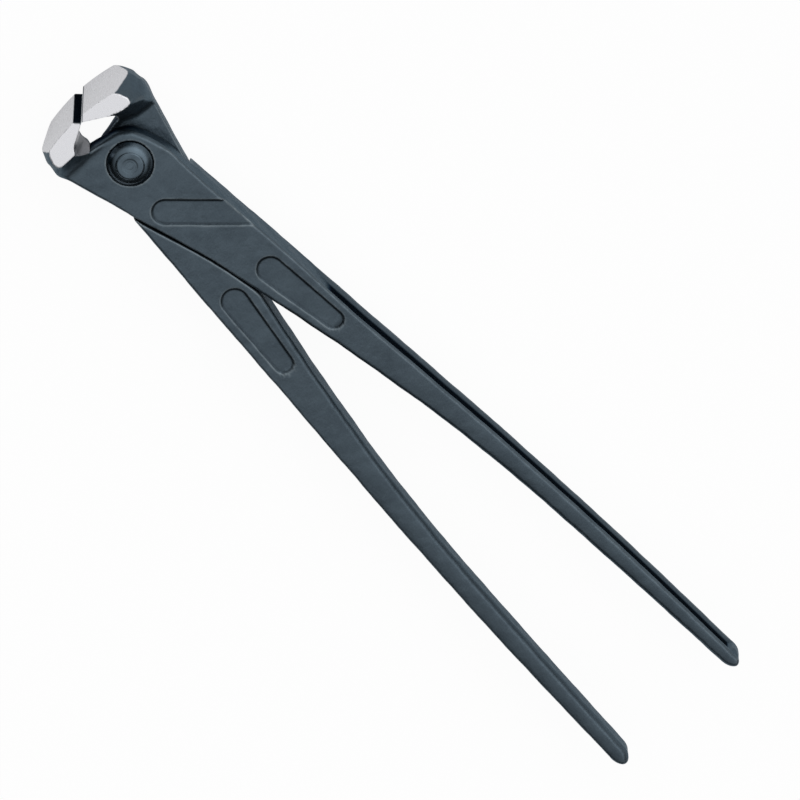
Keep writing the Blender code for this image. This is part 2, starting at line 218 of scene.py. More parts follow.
# Scales of the steel's patterns, in patches to a metre, how much the wheel marks are drawn
# out along z, and the rate of the rings turned into the rivet, in radians to a metre.
PATCH_SCALE = 130.0
SPECKLE_SCALE = 2600.0
GRAIN_SCALE = 1500.0
DENT_SCALE = 320.0
WHEEL_MARK_SCALE = 5200.0
WHEEL_MARK_STRETCH = (1.0, 1.0, 0.04)
RIVET_PATCH_SCALE = 260.0
RIVET_GRAIN_SCALE = 2400.0
TURNED_RING_RATE = 26000.0

# Tint of the steel's gloss at a grazing look, on the forging, where shade is painted into creases
# and recesses, and on ground faces.
GRAZING_FORGED = (0.54, 0.62, 0.68)
GRAZING_PAINTED_SHADE = (0.20, 0.22, 0.26)
GRAZING_GROUND = (1.0, 1.0, 1.0)

# Studio: the floor and how brightly metal and the camera see it, the heights of the sky's
# bands, the way to the soft wall on the right and how tightly it is gathered, the spread
# over which the sky's left side is shaded, and the soft box.
FLOOR_REACH = 4.0
FLOOR_COLOURS = ((0.90, 0.90, 0.90), (0.92, 0.92, 0.92))
FLOOR_IN_METAL = 0.35
FLOOR_IN_CAMERA = 0.95
SKY_BANDS = (0.00, 0.46, 0.66, 0.84, 0.97)
RIGHT_WALL_WAY = (0.84, 0.10, 0.54)
RIGHT_WALL_POWER = 4.0
LEFT_SHADE = (-0.8, 0.1, 0.45, 1.1)
SOFT_BOX_SIZE = 0.5
SOFT_BOX_PLACE = (-0.16, 0.10, 0.70)

# The photograph's frame, and where the rivet's axis is in it.
PICTURE_SIZE = 800
PIVOT_PIXEL = (130.35, 156.64)


class LeverSizes(bpy.types.PropertyGroup):
    """Sizes of the forging's edges, flute and panels."""

    edge_round: bpy.props.FloatProperty(
        name="Edge round", description="Radius of the joint plate's forged edges",
        default=0.0010, min=0.0002, max=0.003, unit="LENGTH")
    boss_round: bpy.props.FloatProperty(
        name="Boss round", description="Radius of the edge round the rivet boss",
        default=0.0019, min=0.0003, max=0.003, unit="LENGTH")
    handle_round: bpy.props.FloatProperty(
        name="Handle round", description="Radius of the handle's inner edges",
        default=0.0015, min=0.0005, max=0.0024, unit="LENGTH")
    lip_round: bpy.props.FloatProperty(
        name="Lip round", description="Radius of the handle's edges beside the flute",
        default=0.0009, min=0.0003, max=0.002, unit="LENGTH")
    flank_round: bpy.props.FloatProperty(
        name="Flank round", description="Radius between a jaw's flank and its forged sides",
        default=0.0034, min=0.0005, max=0.005, unit="LENGTH")
    ground_round: bpy.props.FloatProperty(
        name="Ground edge", description="Radius left on the edges of ground faces",
        default=0.00015, min=0.00005, max=0.001, unit="LENGTH")
    flute_land: bpy.props.FloatProperty(
        name="Flute land", description="Height of the land between the flute and a handle face",
        default=0.00115, min=0.0005, max=0.003, unit="LENGTH")
    flute_depth: bpy.props.FloatProperty(
        name="Flute depth", description="Depth of the flute along the handle's outer side",
        default=0.0012, min=0.0002, max=0.002, unit="LENGTH")
    panel_depth: bpy.props.FloatProperty(
        name="Panel depth", description="Depth of the bare sunk panels",
        default=0.00060, min=0.0001, max=0.001, unit="LENGTH")
    waviness: bpy.props.FloatProperty(
        name="Waviness", description="Height of the forging's slow unevenness",
        default=0.00004, min=0.0, max=0.0003, unit="LENGTH")


class RivetSizes(bpy.types.PropertyGroup):
    """Sizes of the rivet's closed heads."""

    shoulder_round: bpy.props.FloatProperty(
        name="Shoulder round", description="Radius between the cone and the flat",
        default=0.0009, min=0.0002, max=0.002, unit="LENGTH")
    dish_depth: bpy.props.FloatProperty(
        name="Dish depth", description="Depth of the shallow dish in the flat",
        default=0.00016, min=0.0, max=0.001, unit="LENGTH")
    ring_depth: bpy.props.FloatProperty(
        name="Ring depth", description="Depth of the turned ring in the dish",
        default=0.00006, min=0.0, max=0.0005, unit="LENGTH")


class Finish(bpy.types.PropertyGroup):
    """Colours and gloss of the steel."""

    forged_colour: bpy.props.FloatVectorProperty(
        name="Forged steel", description="Colour of the blued forging",
        default=(0.074, 0.099, 0.120), min=0.0, max=1.0, subtype="COLOR")
    deep_colour: bpy.props.FloatVectorProperty(
        name="Deep steel", description="Colour of the blued forging in its darker patches",
        default=(0.058, 0.078, 0.096), min=0.0, max=1.0, subtype="COLOR")
    # Lighter colour on sharply bent edges: partly wear of the blueing, partly a painted highlight.
    worn_and_highlight_colour: bpy.props.FloatVectorProperty(
        name="Worn edge", description="Colour of edges where the blueing is thin",
        default=(0.150, 0.180, 0.200), min=0.0, max=1.0, subtype="COLOR")
    ground_colour: bpy.props.FloatVectorProperty(
        name="Ground steel", description="Colour of the bright ground faces",
        default=(0.715, 0.718, 0.748), min=0.0, max=1.0, subtype="COLOR")
    forged_roughness: bpy.props.FloatProperty(
        name="Forged roughness", description="Roughness of the blued forging",
        default=0.36, min=0.05, max=1.0, subtype="FACTOR")
    ground_roughness: bpy.props.FloatProperty(
        name="Ground roughness", description="Roughness of the ground faces",
        default=0.30, min=0.05, max=1.0, subtype="FACTOR")


class Studio(bpy.types.PropertyGroup):
    """The camera, the floor and the light."""

    camera_tilt: bpy.props.FloatProperty(
        name="Camera tilt", description="Lean of the camera from straight above",
        default=math.radians(19.128), subtype="ANGLE")
    camera_spin: bpy.props.FloatProperty(
        name="Camera spin", description="Turn of the tool in the picture",
        default=math.radians(43.202), subtype="ANGLE")
    camera_lean: bpy.props.FloatProperty(
        name="Camera lean", description="Sideways lean of the camera, as a slope",
        default=0.0065)
    camera_distance: bpy.props.FloatProperty(
        name="Camera distance", description="Distance from the camera to the tool",
        default=4.094, unit="LENGTH")
    pixels_per_metre: bpy.props.FloatProperty(
        name="Scale", description="Pixels of the picture to a metre at the rivet",
        default=3514.0)
    lamp_power: bpy.props.FloatProperty(
        name="Lamp power", description="Power of the overhead soft box in watts",
        default=0.45)
    sky_level: bpy.props.FloatProperty(
        name="Sky level", description="Brightness of the sky straight above",
        default=0.48)
    ring_level: bpy.props.FloatProperty(
        name="Ring level", description="Brightness of the sky halfway up",
        default=0.92)
    horizon_level: bpy.props.FloatProperty(
        name="Horizon level", description="Brightness of the sky at the horizon",
        default=0.06)
    right_level: bpy.props.FloatProperty(
        name="Right level", description="Brightness added by the soft wall on the right",
        default=1.1)


def smooth_rise(share):
    """0 up to 0, 1 from 1 on, and s * s * (3 - 2 * s) between."""
    share = np.clip(share, 0, 1)
    return share * share * (3 - 2 * share)


def fade(value, zone):
    """0 up to the zone's start, 1 from a run further on, and a smooth rise between."""
    start, run = zone
    return smooth_rise((value - start) / run)


def rounded_max(a, b, radius):
    """What lies inside both a and b, with a rounded edge between their faces. Where both
    are within the radius, the distance is hypot(a + r, b + r) - r, and else the larger."""
    u = a + radius
    v = b + radius
    return np.minimum(np.maximum(u, v), 0) + np.hypot(np.maximum(u, 0), np.maximum(v, 0)) - radius


def arc(middle, radius, start, end, steps):
    """Points along an arc: middle + radius * (cos a, sin a), from one angle to the other."""
    angles = np.linspace(start, end, steps + 1)
    return np.stack([middle[0] + radius * np.cos(angles), middle[1] + radius * np.sin(angles)], 1)


def bowed(start, end, radius, steps):
    """Points along an arc of this radius from start to end, which bows to its right."""
    start, end = np.array(start), np.array(end)
    chord = end - start
    half = np.hypot(*chord) / 2
    across = np.array((chord[1], -chord[0])) / (2 * half)
    middle = (start + end) / 2 - across * math.sqrt(max(radius**2 - half**2, 0))
    swing = math.asin(min(half / radius, 1))
    facing = math.atan2(across[1], across[0])
    return arc(middle, radius, facing - swing, facing + swing, steps)


def outline_distance(x, y, outline):
    """Distance in the plane to a closed outline, negative inside it: the least distance to
    any of its sides, with the sign from how often a line to the right crosses them."""
    x, y = np.broadcast_arrays(x, y)
    nearest = np.full(x.shape, np.inf, x.dtype)
    inside = np.zeros(x.shape, bool)
    for (ax, ay), (bx, by) in zip(outline, np.roll(outline, -1, axis=0)):
        ex, ey = bx - ax, by - ay
        along = np.clip(((x - ax) * ex + (y - ay) * ey) / (ex * ex + ey * ey), 0, 1)
        nearest = np.minimum(nearest, (x - ax - along * ex) ** 2 + (y - ay - along * ey) ** 2)
        if ay != by:
            inside ^= ((y < ay) != (y < by)) & (x < ax + (y - ay) * ex / ey)
    return np.where(inside, -1, 1) * np.sqrt(nearest)


def capsule_distance(x, y, capsule):
    """Distance to a bar with round ends whose half width changes evenly from end to end."""
    (ax, ay, start), (bx, by, end) = capsule
    ex, ey = bx - ax, by - ay
    along = np.clip(((x - ax) * ex + (y - ay) * ey) / (ex * ex + ey * ey), 0, 1)
    return np.hypot(x - ax - along * ex, y - ay - along * ey) - start - along * (end - start)


def smooth_track(stations, values):
    """A smooth curve through the values: cubic pieces that share the slope at each station."""
    slopes = np.gradient(values, stations)

    def track(y):
        piece = np.clip(np.searchsorted(stations, y) - 1, 0, len(stations) - 2)
        span = stations[piece + 1] - stations[piece]
        u = np.clip((y - stations[piece]) / span, 0, 1)
        rest = 1 - u
        start = values[piece] * (1 + 2 * u) + slopes[piece] * span * u
        end = values[piece + 1] * (1 + 2 * rest) - slopes[piece + 1] * span * rest
        return start * rest**2 + end * u**2

    return track


def edge_tracks():
    """The lever's left edge, right edge and half thickness as functions of y, found with rays
    against the front lever's solid. The right edge is taken beside the flute, and the half
    thickness beside the panels."""
    mesh = frame["nodes"]["front_lever"].data
    solid = BVHTree.FromPolygons(
        [vertex.co for vertex in mesh.vertices], [face.vertices[:] for face in mesh.polygons])

    def hit(start, way):
        return np.array(solid.ray_cast(Vector(start + PIVOT), way)[0]) - PIVOT

    low = TIP_LENGTH - HANDLE_REACH
    stations = np.linspace(low, FACET_REACH, round((FACET_REACH - low) / EDGE_STEP))
    left = np.array([hit(np.array((-HEAD_REACH, y, EDGE_LEVEL)), Vector((1, 0, 0)))[0]
                     for y in stations])
    handle = stations < -WAIST_REACH
    beside = stations[handle]
    right = np.array([hit(np.array((HANDLE_REACH, y, LAND_LEVEL)), Vector((-1, 0, 0)))[0]
                      for y in beside])
    half = np.zeros(len(beside))
    for share in FACE_SHARES:
        x = left[handle] + share * (right - left[handle])
        found = [hit(np.array((x[i], y, HANDLE_REACH)), Vector((0, 0, -1)))[2]
                 for i, y in enumerate(beside)]
        half = np.maximum(half, found)
    joint = (0.0, HEAD_REACH)
    return (
        smooth_track(np.append(stations, FLANK[:, 1]), np.append(left, FLANK[:, 0])),
        smooth_track(np.append(beside, joint), np.append(right, [right[-1]] * 2)),
        smooth_track(np.append(beside, joint), np.append(half, [PLATE_TOP] * 2)),
    )


def throat_outlines():
    """The other jaw's side of the cutting edge, where the steel ends: a 45 degree bevel, the
    edge, the throat's wall and its round corner. The first outline is at the side faces and
    the second at z = 0, where the forging's draft has filled the corner up to a ridge."""
    top = HEAD_REACH + CROWN_RADIUS
    far = 2 * HEAD_HALF_WIDTH
    edge = np.array([(EDGE_REACH - top - EDGE_GAP, top), (-EDGE_GAP, EDGE_REACH)])
    floor = boss_outline()[0]
    corner = np.concatenate([
        bowed(THROAT_WALL_END, THROAT_SHOULDER, THROAT_SHOULDER_RADIUS, THROAT_SHOULDER_STEPS),
        bowed(THROAT_SHOULDER, floor, THROAT_CORNER_RADIUS, THROAT_CORNER_STEPS)[1:]])
    ridge = np.maximum(corner, (-THROAT_RIDGE_HALF_WIDTH, 0))
    rest = np.array([(far, floor[1]), (far, top)])
    return [np.concatenate([edge, side, rest]) for side in (corner, ridge)]


def boss_outline():
    """The region above the joint plate: the throat's floor, the arc round the rivet and the
    straight shoulder that falls to the waist."""
    far = 2 * HEAD_HALF_WIDTH
    round_part = arc((0, 0), BOSS_RADIUS, BOSS_LEFT_ANGLE, BOSS_RIGHT_ANGLE, BOSS_STEPS)
    start, end = round_part[0], round_part[-1]
    rise = (start[0] + THROAT_FLOOR_HALF_WIDTH) / math.tan(BOSS_LEFT_ANGLE)
    fall = (far - end[0]) / math.tan(BOSS_RIGHT_ANGLE)
    floor = (-THROAT_FLOOR_HALF_WIDTH, start[1] + rise)
    above = [(far, end[1] - fall), (far, THROAT_SHOULDER[1]), (floor[0], THROAT_SHOULDER[1])]
    return np.concatenate([[floor], round_part, above])


def lap_outline(left_track):
    """The room for the other lever's plate: below the step under the head, and out to the
    wall that the other plate's edge closes against."""
    far = 2 * HEAD_HALF_WIDTH
    low = -2 * FINE_REACH
    seam = np.linspace(low, -STEP_REACH, SEAM_STEPS)
    wall = np.stack([GAP - left_track(seam), seam], 1)
    above = [(far, -STEP_REACH), (far, STEP_CREASE[0][1])]
    below = [(-far, STEP_REACH), (-far, low)]
    return np.concatenate([wall, above, STEP_CREASE, below])


class LeverShape:
    """The forging as a distance. Every method takes x, y and z as arrays that fit together."""

    def __init__(self, sizes):
        self.sizes = sizes
        self.left, self.right, self.half = edge_tracks()
        self.throat_side, self.throat_ridge = throat_outlines()
        self.boss = boss_outline()
        self.lap = lap_outline(self.left)

    def crown(self, x, y):
        """The ground end face: a cylinder round an axis along z."""
        return np.hypot(x, np.maximum(y - HEAD_REACH + CROWN_RADIUS, 0)) - CROWN_RADIUS

    def throat(self, x, y, z):
        """Distance to the throat. The forging's draft takes it evenly from its outline at the
        side faces to the one at z = 0."""
        share = np.abs(z) / HALF_EDGE
        side = outline_distance(x, y, self.throat_side)
        ridge = outline_distance(x, y, self.throat_ridge)
        return ridge + share * (side - ridge)

    def forged_plan(self, x, y, z):
        """The outline seen along the rivet. At the head the left flank leans in from its
        ridge at z = 0 to the corners, as hypot(z / half, k) - k. The lean grows up to the
        crown, and is a lobe deeper low on the flank. Down the handle the edge beside the
        flute stands back where z is positive. The tip is half an ellipse."""
        head = smooth_rise((y - NECK_REACH) / (FACET_REACH - NECK_REACH)) ** LEAN_POWER
        k = RIDGE_ROUND_SHARE
        lean = (np.hypot(z / HALF_EDGE, k) - k) / (math.hypot(1, k) - k)
        up = smooth_rise((y - FACET_REACH) / (HEAD_REACH - FACET_REACH))
        cut = CORNER_CUT_LOW + up * (CORNER_CUT - CORNER_CUT_LOW)
        cut = cut + LOBE_CUT * smooth_rise((LOBE_TOP - y) / LOBE_LENGTH)
        draft = DRAFT_SHARE * np.abs(z) * fade(y, DRAFT_UP)
        left = self.left(y) + head * cut * lean + (1 - head) * draft - x
        right = rounded_max(
            x - self.right(y) + draft, -outline_distance(x, y, self.boss), BOSS_BLEND_RADIUS)
        inset = LIP_INSET * fade(z, LIP_OUT) * fade(-y, LIP_DOWN)
        right = np.maximum(right, x - self.right(y) + inset)
        middle = (self.left(y) + self.right(y)) / 2
        width = self.right(y) - middle
        past = np.maximum(TIP_CURVE + GAP / 2 - HANDLE_REACH - y, 0) / TIP_CURVE
        tip = (np.hypot((x - middle) / width, past) - 1) * width
        return np.maximum(np.maximum(left, right), tip)

    def forged_side(self, x, y, z):
        """The front and back faces: |z| less the half thickness, which rises from the plate
        to the head as the share up the neck to a power. Down the handle the faces are
        crowned: they fall by the square of the share from the middle to an edge. Dividing by
        hypot(1, slope) makes the height a distance."""
        neck = np.clip((y - NECK_REACH) / (FACET_REACH - NECK_REACH), 0, 1)
        rise = HALF_EDGE + FORGED_SWELL - PLATE_TOP
        climb = NECK_POWER * rise * neck ** (NECK_POWER - 1) / (FACET_REACH - NECK_REACH)
        width = (self.right(y) - self.left(y)) / 2
        across = np.clip((x - self.left(y)) / width - 1, -1, 1)
        crown = FACE_CROWN * fade(-y, FACE_CROWN_DOWN)
        slope = np.hypot(climb, 2 * crown * across / width)
        face = self.half(y) + rise * neck**NECK_POWER - crown * across**2
        return (np.abs(z) - face) / np.sqrt(1 + slope**2)

    def edge_radius(self, x, y):
        """The forged edge's radius: small along the seam, wide round the boss and on the
        flanks of the head, and down the handle a wide inner edge and a small one beside the
        flute."""
        s = self.sizes
        boss = fade(x, BOSS_EDGE_RIGHT) * fade(y, BOSS_EDGE_UP)
        flank = fade(-x, FLANK_EDGE_LEFT) * fade(y, FLANK_EDGE_UP)
        flank = flank * (1 - FLANK_TOP_SHARE * fade(y, FLANK_TOP_UP))
        handle = fade(-y, HANDLE_EDGE_DOWN)
        seam = fade(-x, SEAM_EDGE_LEFT) * fade(-y, SEAM_EDGE_DOWN)
        radius = s.edge_round + boss * (s.boss_round - s.edge_round)
        radius = radius + flank * (s.flank_round - radius)
        radius = radius + seam * (1 - handle) * (LAP_EDGE_ROUND - radius)
        across = (x - self.left(y)) / (self.right(y) - self.left(y))
        beside = s.handle_round + smooth_rise(2 * across - 0.5) * (s.lip_round - s.handle_round)
        return radius + handle * (beside - radius)

    def flute(self, x, y, z):
        """A groove along the right edge with a flat floor and leaning walls, which runs in
        below the joint and stops short of the tip."""
        s = self.sizes
        run = fade(-y, FLUTE_DOWN) * fade(y + HANDLE_REACH, FLUTE_FROM_TIP)
        inward = self.right(y) - x
        wall = np.abs(z) - (self.half(y) - s.flute_land) + FLUTE_LEAN_SHARE * inward
        floor = inward - s.flute_depth * run + FLUTE_RUN_OUT * (1 - run)
        return rounded_max(floor, wall / math.hypot(1, FLUTE_LEAN_SHARE), s.flute_depth / 2)

    def sunk(self, x, y, z):
        """The voids in the faces: the rivet's recess and bore, and the bare panels, whose
        sides slope at 45 degrees."""
        s = self.sizes
        floor = PLATE_TOP - RECESS_DEPTH
        radius = np.hypot(x, y)
        recess = rounded_max(radius - RECESS_RADIUS, floor - z, RECESS_ROUND)
        bore = radius - BORE_RADIUS
        floor = self.half(y) - s.panel_depth
        panels = [
            rounded_max((capsule_distance(x, y, panel) + floor - height) * math.sqrt(0.5),
                        floor - height, PANEL_ROUND)
            for panel, height in ((JOINT_PANEL, z), (HANDLE_PANEL, np.abs(z)))]
        return recess, bore, *panels

    def unevenness(self, x, y, z):
        """The forging's slow waves: a wave along x that snakes with y, times a wave along y,
        plus a slanting wave of y and z. The rates are in radians to a metre."""
        across = np.sin(x * 900 + 3 * np.sin(y * 260))
        return across * np.sin(y * 610 + 1.3) + np.sin(z * 700 + y * 410)

    def field(self, x, y, z):
        """The whole lever: the forged skin, less the flute, panels and recess, cut for the
        other plate, then ground on the end, on both sides and in the throat."""
        s = self.sizes
        plan = self.forged_plan(x, y, z)
        skin = rounded_max(plan, self.forged_side(x, y, z), self.edge_radius(x, y))
        skin = skin + s.waviness * self.unevenness(x, y, z)
        skin = rounded_max(skin, -self.flute(x, y, z), s.lip_round / 2)
        recess, bore, joint, handle = self.sunk(x, y, z)
        skin = rounded_max(skin, -joint, PANEL_ROUND)
        skin = rounded_max(skin, -handle, PANEL_ROUND)
        skin = rounded_max(skin, -recess, RECESS_ROUND)
        skin = np.maximum(skin, -bore)
        step = smooth_rise(y / STEP_REACH)
        wall = outline_distance(x, y, self.lap) + STEP_DRAFT_SHARE * step * np.minimum(z, 0)
        room = rounded_max(wall, z - GAP / 2, LAP_FILLET + step * (STEP_FILLET - LAP_FILLET))
        under_head = fade(y, (STEP_REACH, GAP)) * fade(-z, UNDER_HEAD_OUT)
        under_head = under_head * fade(-x, UNDER_HEAD_LEFT)
        skin = rounded_max(
            skin, -room, LAP_EDGE_ROUND + under_head * (STEP_EDGE_ROUND - LAP_EDGE_ROUND))
        skin = rounded_max(skin, self.crown(x, y), s.ground_round)
        skin = rounded_max(skin, np.abs(z) - HALF_EDGE, s.ground_round)
        return rounded_max(skin, -self.throat(x, y, z), s.ground_round)

    def ground(self, x, y, z):
        """1 on the faces that the wheel has brightened, less in the throat's round corners,
        0 elsewhere."""
        near = GROUND_REACH_SHARE * self.sizes.ground_round
        bevel = np.abs(self.throat(x, y, z)) < near
        end = np.abs(self.crown(x, y)) < near
        side = np.abs(np.abs(z) - HALF_EDGE) < near
        wall = bevel & (y < EDGE_REACH - near) & (y > self.boss[0][1])
        corner = wall & (y < THROAT_SHOULDER[1] + near)
        dulled = corner * np.where(z > 0, CORNER_DULL_FRONT, CORNER_DULL_BACK)
        return (((end | side) & ~bevel) | wall) - dulled

    def painted_recess_shade(self, x, y, z):
        """Painted shade: 1 on the floor of the flute and low on the wall round the boss, falling to
        0 up their sides."""
        on_flute = np.abs(self.flute(x, y, z)) < GAP
        share = (self.right(y) - x) / self.sizes.flute_depth
        on_wall = (np.abs(outline_distance(x, y, self.boss)) < 2 * GAP) & (z > 0)
        low = smooth_rise((WALL_FOOT_SHARE * PLATE_TOP - z) / WALL_FOOT_RUN)
        low = low * smooth_rise(y / BOSS_RADIUS)
        floor = on_flute * fade(share, FLUTE_FLOOR_SHARES)
        return np.maximum(floor, WALL_FOOT_DARK * on_wall * low)

    def dimmed(self, x, y, z):
        """1 on the bevel of the cutting edge, where shade is painted dark, 0 elsewhere."""
        bevel = np.abs(self.throat(x, y, z)) < GROUND_REACH_SHARE * self.sizes.ground_round
        return (bevel & (y > EDGE_REACH + self.sizes.ground_round)).astype(float)


def stretched_stations():
    """Stations along y: fine over the head and joint and at the tip, long over the handle.
    Between them a step grows, or shrinks, evenly with the share of the run."""
    stations = [HEAD_REACH + 2 * FINE_CELL]
    while stations[-1] > -HANDLE_REACH - 2 * FINE_CELL:
        y = stations[-1]
        below = min(max((-FINE_REACH - y) / LONG_RUN, 0), 1)
        above = min(max((y + HANDLE_REACH - TIP_FINE_REACH) / TIP_FINE_RUN, 0), 1)
        stations.append(y - FINE_CELL - below * above * (LONG_CELL - FINE_CELL))
    return np.array(stations[::-1])


def slopes(field, points, reach):
    """The field's gradient at many points, and the sum of its second slopes."""
    values = field(*points.T)
    gradient = np.empty_like(points)
    bend = -6 * values
    for axis in range(3):
        shift = np.zeros(3)
        shift[axis] = reach
        ahead = field(*(points + shift).T)
        behind = field(*(points - shift).T)
        gradient[:, axis] = (ahead - behind) / (2 * reach)
        bend += ahead + behind
    return values, gradient, bend / reach**2


def skin_mesh(field, axes):
    """Lays quads over the field's zero. Each grid edge that passes through the skin gives
    one quad between its four cells, and each cell's point is the one nearest to the flat
    faces that its crossings and their slopes describe, in least squares."""
    values = field(*np.meshgrid(*[a.astype(np.float32) for a in axes], indexing="ij", sparse=True))
    inside = values < 0
    points, cells, turned = [], [], []
    for axis in range(3):
        near = [slice(None)] * 3
        far = [slice(None)] * 3
        near[axis] = slice(None, -1)
        far[axis] = slice(1, None)
        index = np.argwhere(inside[tuple(near)] != inside[tuple(far)])
        after = index.copy()
        after[:, axis] += 1
        low = values[tuple(index.T)].astype(float)
        high = values[tuple(after.T)].astype(float)
        point = np.stack([axes[k][index[:, k]] for k in range(3)], 1)
        step = axes[axis][after[:, axis]] - axes[axis][index[:, axis]]
        point[:, axis] += low / (low - high) * step
        points.append(point)
        u, v = (axis + 1) % 3, (axis + 2) % 3
        around = np.repeat(index[:, None, :], 4, axis=1)
        around[:, (0, 3), u] -= 1
        around[:, (0, 1), v] -= 1
        cells.append(np.ravel_multi_index(np.moveaxis(around, 2, 0), values.shape))
        turned.append(low > 0)
    points = np.concatenate(points)
    cells = np.concatenate(cells)
    turned = np.concatenate(turned)

    value, gradient, _ = slopes(field, points, SLOPE_PROBE)
    length = np.linalg.norm(gradient, axis=1, keepdims=True)
    normal = gradient / np.maximum(length, 1e-9)
    offset = np.einsum("ij,ij->i", normal, points) - value / np.maximum(length[:, 0], 0.5)

    used, corner = np.unique(cells, return_inverse=True)
    corner = corner.reshape(cells.shape)
    flat = corner.ravel()

    def gather(per_crossing):
        return np.bincount(flat, np.repeat(per_crossing, 4), len(used))

    count = gather(np.ones(len(points)))
    middle = np.stack([gather(points[:, k]) for k in range(3)], 1) / count[:, None]
    square = np.empty((len(used), 3, 3))
    for a in range(3):
        for b in range(3):
            square[:, a, b] = gather(normal[:, a] * normal[:, b])
    pull = np.stack([gather(normal[:, k] * offset) for k in range(3)], 1)
    pull -= np.einsum("nab,nb->na", square, middle)
    square += MIDDLE_WEIGHT * np.eye(3)
    vertices = middle + np.linalg.solve(square, pull[:, :, None])[:, :, 0]
    place = np.stack(np.unravel_index(used, values.shape), 1)
    for k in range(3):
        vertices[:, k] = np.clip(vertices[:, k], axes[k][place[:, k]], axes[k][place[:, k] + 1])
    quads = np.where(turned[:, None], corner[:, ::-1], corner)
    return vertices, quads


def new_object(name, vertices, faces, attributes=()):
    """An object at the origin around a mesh in the row frame, with values on its points."""
    mesh = bpy.data.meshes.new(name)
    mesh.from_pydata(vertices, [], faces)
    for label, values in attributes:
        mesh.attributes.new(label, "FLOAT", "POINT").data.foreach_set(
            "value", np.asarray(values, np.float32))
    mesh.update()
    piece = bpy.data.objects.new(name, mesh)
    bpy.context.scene.collection.objects.link(piece)
    return piece


def add_node(tree, kind, links=(), **values):
    """A shader node. Links are pairs of an input and what feeds it, which is a socket or a
    plain value. Each other value is a setting of the node."""
    node = tree.nodes.new(kind)
    for name, value in values.items():
        setattr(node, name, value)
    for target, source in links:
        if isinstance(source, bpy.types.NodeSocket):
            tree.links.new(source, node.inputs[target])
        else:
            node.inputs[target].default_value = source
    return node


def new_material(name):
    """A material and its node tree, Principled shader and object coordinates."""
    material = bpy.data.materials.new(name)
    material.use_nodes = True
    tree = material.node_tree
    shader = tree.nodes["Principled BSDF"]
    place = add_node(tree, "ShaderNodeTexCoord").outputs["Object"]
    return material, tree, shader, place


def noise(tree, place, scale, detail=3.0, roughness=0.55):
    """Fractal noise between 0 and 1 at so many patches to a metre."""
    node = add_node(tree, "ShaderNodeTexNoise", (
        ("Vector", place), ("Scale", scale), ("Detail", detail), ("Roughness", roughness)))
    return node.outputs["Fac"]


def map_range(tree, value, low, high, to_low=0.0, to_high=1.0):
    """The value spread from one range to another, and held inside it."""
    node = add_node(tree, "ShaderNodeMapRange", (
        ("Value", value), ("From Min", low), ("From Max", high),
        ("To Min", to_low), ("To Max", to_high)))
    return node.outputs["Result"]


def mix_colour(tree, share, first, second):
    """A colour between two."""
    node = add_node(tree, "ShaderNodeMix", data_type="RGBA")
    for target, source in ((0, share), (6, first), (7, second)):
        if isinstance(source, bpy.types.NodeSocket):
            tree.links.new(source, node.inputs[target])
        else:
            node.inputs[target].default_value = source if target == 0 else (*source, 1)
    return node.outputs[2]


def math_node(tree, operation, first, second=0.0):
    """One sum on two values."""
    return add_node(
        tree, "ShaderNodeMath", ((0, first), (1, second)), operation=operation).outputs[0]


